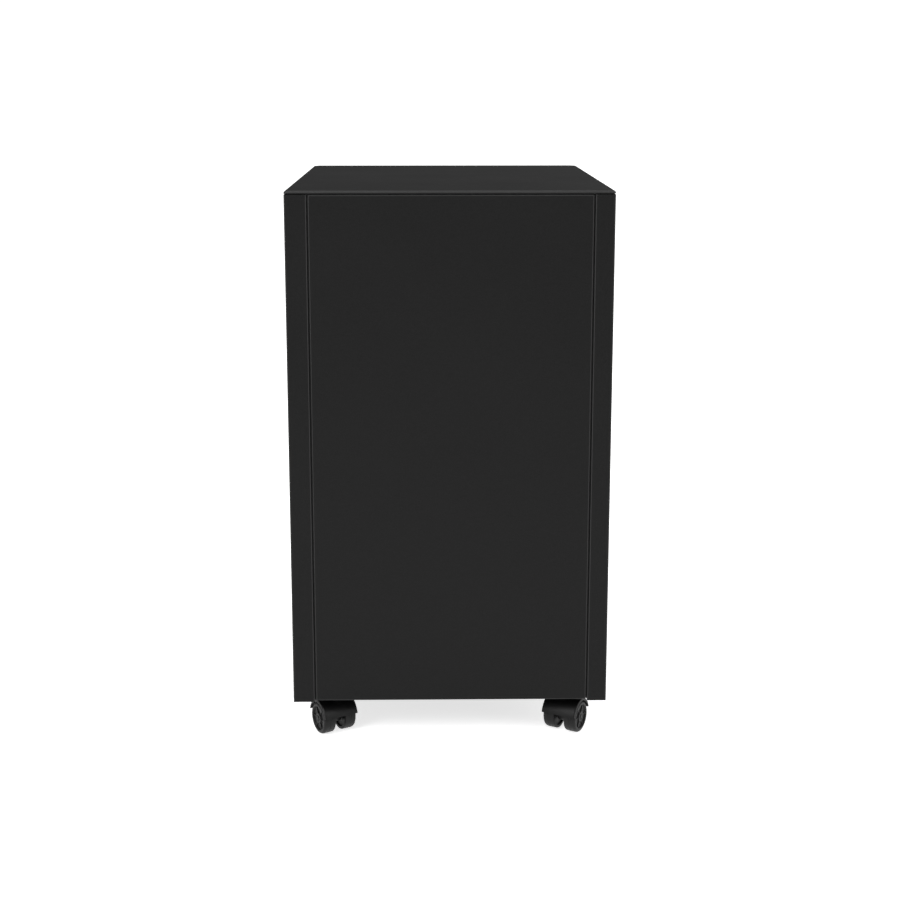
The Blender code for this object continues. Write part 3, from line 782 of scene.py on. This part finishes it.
def lock():
    """Bezel and plug, turned, with the keyway cut in the plug's face."""
    low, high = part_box("lock_housing")
    x, z = (low.x + high.x) / 2, (low.z + high.z) / 2
    radius = (high.x - low.x) / 2
    plug_low, plug_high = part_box("lock_plug")
    plug = (plug_high.x - plug_low.x) / 2
    place = between((x, low.y, z), (x, low.y + 1, z))
    bore = plug + 0.0003
    back = high.y - low.y
    profile = [
        (bore, 0.0006),
        (bore + 0.0004, 0.0001),
        (bore + 0.0009, 0),
        (radius - 0.0018, 0),
        (radius - 0.0006, 0.0002),
        (radius - 0.0001, 0.0006),
        (radius, 0.0012),
        (BARREL_RADIUS, 0.0012),
        (BARREL_RADIUS, back),
        (bore, back),
    ]
    item = new_piece("lock_bezel", revolve(profile, 72, place, closed=True), "chrome")
    settle(item, "case", "lock_housing", angle=50)
    depth = plug_high.y - plug_low.y
    face = [
        (0, 0.0005),
        (plug - 0.0018, 0.0005),
        (plug - 0.0014, 0),
        (plug - 0.0004, 0),
        (plug, 0.0004),
        (plug, depth),
        (0, depth),
    ]
    item = new_piece("lock_plug_face", revolve(face, 72, place), "chrome")
    width, deep, height = KEYHOLE
    front = low.y - PAST
    end = low.y + deep
    combine(item, "DIFFERENCE", block((x - width / 2, front, z - height / 2), (x + width / 2, end, z + height / 2)))
    combine(item, "DIFFERENCE", block((x - 0.3 * width, front, z + 0.1 * height),
                                      (x + 1.1 * width, end, z + 0.3 * height)))
    settle(item, "lock_plug", "lock_plug", angle=40)


# --- casters ------------------------------------------------------------------------------

def swivel_frame(corner):
    """Matrix of a caster's own frame: its swivel axis is Z and it trails along +X."""
    low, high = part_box(f"caster_plate_{corner}")
    middle = ((low.x + high.x) / 2, (low.y + high.y) / 2, 0)
    return Matrix.Translation(middle) @ Matrix.Rotation(math.radians(TRAIL_ANGLES[corner]), 4, "Z")


def on_axle(sign=1.0):
    """Matrix that stands a turned shape on the wheels' axle, facing outwards on that side."""
    return Matrix.Translation((TRAIL, 0, WHEEL_RADIUS)) @ Matrix.Rotation(-sign * math.pi / 2, 4, "X")


def placed(bm, matrix):
    bmesh.ops.transform(bm, matrix=matrix, verts=bm.verts)
    return bm


def hood(corner, matrix, braked):
    """Fender over both wheels, with the web that carries the axle and the swivel neck."""
    shoulder = 0.0022
    half = HOOD_HALF_WIDTH
    edge = [
        (0, half),
        (HOOD_RADIUS - shoulder, half),
        (HOOD_RADIUS - 0.38 * shoulder, half - 0.22 * shoulder),
        (HOOD_RADIUS - 0.08 * shoulder, half - 0.62 * shoulder),
        (HOOD_RADIUS, half - shoulder),
    ]
    profile = edge + [(radius, -height) for radius, height in reversed(edge)]
    item = new_piece(f"hood_{corner}", placed(revolve(profile, 96), on_axle()), "black_plastic")
    reach = 2 * HOOD_RADIUS
    combine(item, "DIFFERENCE", block((-reach, -reach, -reach), (reach, reach, HOOD_SKIRT_Z)))
    neck = [
        (0, HOOD_TOP),
        (NECK_RADIUS - 0.0008, HOOD_TOP),
        (NECK_RADIUS, HOOD_TOP - 0.0008),
        (NECK_RADIUS, NECK_BOTTOM),
        (0, NECK_BOTTOM),
    ]
    combine(item, "UNION", revolve(neck, 64))
    combine(item, "DIFFERENCE", rod((0, 0, KINGPIN_BOTTOM), (0, 0, HOOD_TOP + PAST), KINGPIN_RADIUS, 40))
    boss_end = half - shoulder
    boss = [(0, boss_end), (BOSS_RADIUS, boss_end), (BOSS_RADIUS, -boss_end), (0, -boss_end)]
    combine(item, "UNION", placed(revolve(boss, 64), on_axle()))
    web = WHEEL_INNER - 0.0004
    well = [(0, web), (HOOD_WELL_RADIUS, web), (HOOD_WELL_RADIUS, reach), (0, reach)]
    combine(item, "DIFFERENCE", merge(*(placed(revolve(well, 90), on_axle(sign)) for sign in (1, -1))))
    if braked:
        pivot = TRAIL + LEVER_PIVOT
        combine(item, "UNION", soft_block((TRAIL + BOSS_RADIUS / 2, -0.002, WHEEL_RADIUS - 0.003),
                                          (pivot + 0.003, 0.002, WHEEL_RADIUS + 0.003), 0.0008))
        combine(item, "DIFFERENCE", rod((pivot, -web, WHEEL_RADIUS), (pivot, web, WHEEL_RADIUS), 0.0018, 24))
    item.data.transform(matrix)
    settle(item, f"caster_{corner}", f"caster_hood_{corner}", angle=30)
    axle_cap = [(0, 0.0227), (0.0016, 0.0227), (0.0026, 0.0224), (0.003, 0.0218), (0.003, 0.006), (0, 0.006)]
    caps = merge(*(placed(revolve(axle_cap, 32), on_axle(sign)) for sign in (1, -1)))
    settle(new_piece(f"axle_{corner}", placed(caps, matrix), "black_plastic"), f"caster_{corner}")


def wheel(corner, side, sign, matrix):
    """Moulded wheel: crowned tread, dished face with a raised rim and six ribs, and a hub ring."""
    inner, outer = WHEEL_INNER, WHEEL_OUTER
    width = outer - inner
    bore = 0.0033
    r = WHEEL_RADIUS
    profile = [
        (bore, inner + 0.0004),
        (0.006, inner + 0.0004),
        (0.0066, inner + 0.0022),
        (r - 0.0042, inner + 0.0022),
        (r - 0.0034, inner),
        (r - 0.0012, inner),
        (r - 0.0004, inner + 0.0003),
        (r - 0.0001, inner + 0.0011),
        (r, inner + 0.3 * width),
        (r, inner + 0.47 * width),
        (r - 0.0003, inner + 0.485 * width),
        (r - 0.0003, inner + 0.515 * width),
        (r, inner + 0.53 * width),
        (r, outer - 0.0036),
        (r - 0.0003, outer - 0.0022),
        (r - 0.0011, outer - 0.0009),
        (r - 0.0024, outer - 0.0002),
        (r - 0.0036, outer),
        (r - 0.0046, outer - 0.0001),
        (r - 0.0052, outer - 0.0008),
        (r - 0.0058, outer - 0.0022),
        (0.0078, outer - 0.0026),
        (0.0070, outer - 0.0020),
        (0.0066, outer - 0.0006),
        (0.0060, outer - 0.0002),
        (bore + 0.0008, outer - 0.0002),
        (bore, outer - 0.0008),
    ]
    shapes = [placed(revolve(profile, 80, closed=True), on_axle(sign))]
    for i in range(6):
        rib = soft_block((0.0068, -0.0008, outer - 0.0030), (r - 0.0050, 0.0008, outer - 0.0011), 0.0004)
        bmesh.ops.rotate(rib, matrix=Matrix.Rotation(i * math.pi / 3, 3, "Z"), verts=rib.verts)
        shapes.append(placed(rib, on_axle(sign)))
    name = f"wheel_{corner}_{side}"
    item = new_piece(f"tyre_{corner}_{side}", placed(merge(*shapes), matrix), "wheel_nylon")
    settle(item, name, name, angle=32)


def brake(corner, matrix):
    """Foot lever between the wheels, with grip ribs across its paddle."""
    pivot = Matrix.Translation((TRAIL + LEVER_PIVOT, 0, WHEEL_RADIUS))
    start, end = LEVER_PADDLE
    half = 0.0015
    paddle = soft_block((start, -LEVER_HALF_WIDTH, -half), (end, LEVER_HALF_WIDTH, half), 0.0011, 4)
    item = new_piece(f"brake_pedal_{corner}", paddle, "black_plastic")
    inner, outer = LEVER_PRONG
    for low, high in ((inner, outer), (-outer, -inner)):
        combine(item, "UNION", soft_block((-0.0025, low, -half), (start + half, high, half), 0.0007))
    middle = (inner + outer) / 2
    combine(item, "UNION", rod((0, -middle, 0), (0, middle, 0), 0.0015, 24))
    item.data.transform(matrix @ pivot)
    settle(item, f"brake_lever_{corner}", f"brake_lever_{corner}", angle=32)
    ribs = []
    for i in range(4):
        rib = start + 0.0022 * (i + 1)
        ribs.append(soft_block((rib, -0.8 * LEVER_HALF_WIDTH, half - 0.0003),
                               (rib + 0.001, 0.8 * LEVER_HALF_WIDTH, half + 0.0005), 0.00035))
    grip = new_piece(f"brake_grip_{corner}", placed(merge(*ribs), matrix @ pivot), "black_plastic")
    settle(grip, f"brake_lever_{corner}")


def plate_screws(corner):
    """Screws that hold the caster's plate."""
    low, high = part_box(f"caster_plate_{corner}")
    z = high.z - PLATE_THICKNESS
    margin = 0.0055
    columns = (low.x + margin, high.x - margin)
    rows = (low.y + margin, high.y - margin)
    places = [(x, y, z) for x in columns for y in rows]
    screws(f"plate_screws_{corner}", places, (0, 0, -1), "case", radius=0.0036, height=0.0018)


def casters():
    for corner in TRAIL_ANGLES:
        matrix = swivel_frame(corner)
        braked = corner.startswith("front")
        hood(corner, matrix, braked)
        for side, sign in SIDES:
            wheel(corner, side, sign, matrix)
        if braked:
            brake(corner, matrix)
        plate_screws(corner)


case()
drawers()
lock()
casters()


# --- setting ------------------------------------------------------------------------------

def glow(name, place, aim, size, power, warmth=0.0):
    light = bpy.data.lights.new(name, "AREA")
    light.shape = "RECTANGLE"
    light.size, light.size_y = size
    light.energy = power
    light.color = (1.0, 1.0 - warmth, 1.0 - 2 * warmth)
    lamp = bpy.data.objects.new(name, light)
    bpy.context.scene.collection.objects.link(lamp)
    lamp.location = place
    lamp.rotation_euler = (Vector(aim) - Vector(place)).to_track_quat("-Z", "Y").to_euler()


def studio():
    world = bpy.data.worlds.new("studio")
    world.use_nodes = True
    nodes, links = world.node_tree.nodes, world.node_tree.links
    direction = nodes.new("ShaderNodeTexCoord")
    height = nodes.new("ShaderNodeSeparateXYZ")
    links.new(direction.outputs["Generated"], height.inputs["Vector"])
    dome = nodes.new("ShaderNodeMapRange")
    links.new(height.outputs["Z"], dome.inputs["Value"])
    dome.inputs["To Min"].default_value = SKY_LOW
    dome.inputs["To Max"].default_value = SKY_HIGH
    seen = nodes.new("ShaderNodeLightPath")
    paper = nodes.new("ShaderNodeMix")
    links.new(seen.outputs["Is Camera Ray"], paper.inputs["Factor"])
    links.new(dome.outputs["Result"], paper.inputs["A"])
    paper.inputs["B"].default_value = PAPER
    links.new(paper.outputs["Result"], nodes["Background"].inputs["Strength"])
    nodes["Background"].inputs["Color"].default_value = (1, 1, 1, 1)
    bpy.context.scene.world = world
    bpy.context.scene.view_settings.view_transform = "Standard"

    bm = bmesh.new()
    bmesh.ops.create_circle(bm, cap_ends=True, segments=96, radius=14.0)
    mesh = bpy.data.meshes.new("floor")
    bm.to_mesh(mesh)
    bm.free()
    floor = bpy.data.objects.new("floor", mesh)
    bpy.context.scene.collection.objects.link(floor)
    pale = Look("pale_floor")
    drift = pale.spread(pale.noise(0.8, 2), 0, 1)
    pale.set(Base_Color=pale.blend(drift, grey(0.80), grey(0.82)), Roughness=0.85)
    pale.shader.inputs["Specular IOR Level"].default_value = 0.1
    pale.set(Emission_Color=grey(1.0), Emission_Strength=FLOOR_GLOW)
    mesh.materials.append(pale.material)

    centre = (0, 0, CAD_BOX[1].z / 2)
    glow("key", (1.9, 2.4, 2.3), centre, (1.4, 1.4), 60)
    glow("fill", (-2.2, 1.2, 1.4), centre, (1.2, 1.6), 18)
    glow("front", (-1.6, -2.2, 1.6), centre, (1.6, 1.6), 14)
    glow("overhead", (0, 0, 2.8), centre, (2.4, 2.4), 7)


def camera():
    low, high = CAD_BOX
    lens = bpy.data.cameras.new("camera")
    lens.lens = CAMERA_LENS
    lens.shift_y = CAMERA_SHIFT
    view = bpy.data.objects.new("camera", lens)
    bpy.context.scene.collection.objects.link(view)
    view.location = (CAMERA_SIDE, high.y + CAMERA_BEHIND, CAMERA_HEIGHT)
    aim = Vector((0, high.y, CAMERA_AIM))
    view.rotation_euler = (aim - view.location).to_track_quat("-Z", "Y").to_euler()
    bpy.context.scene.camera = view


def dress_nodes():
    """The CAD nodes that still show take the material of their slot."""
    slots = {part["node"]: part["material_slot"] for part in frame["record"]["subparts"]}
    for name, node in frame["nodes"].items():
        node.data.materials.clear()
        node.data.materials.append(LOOKS[slots[name]])


studio()
camera()
dress_nodes()
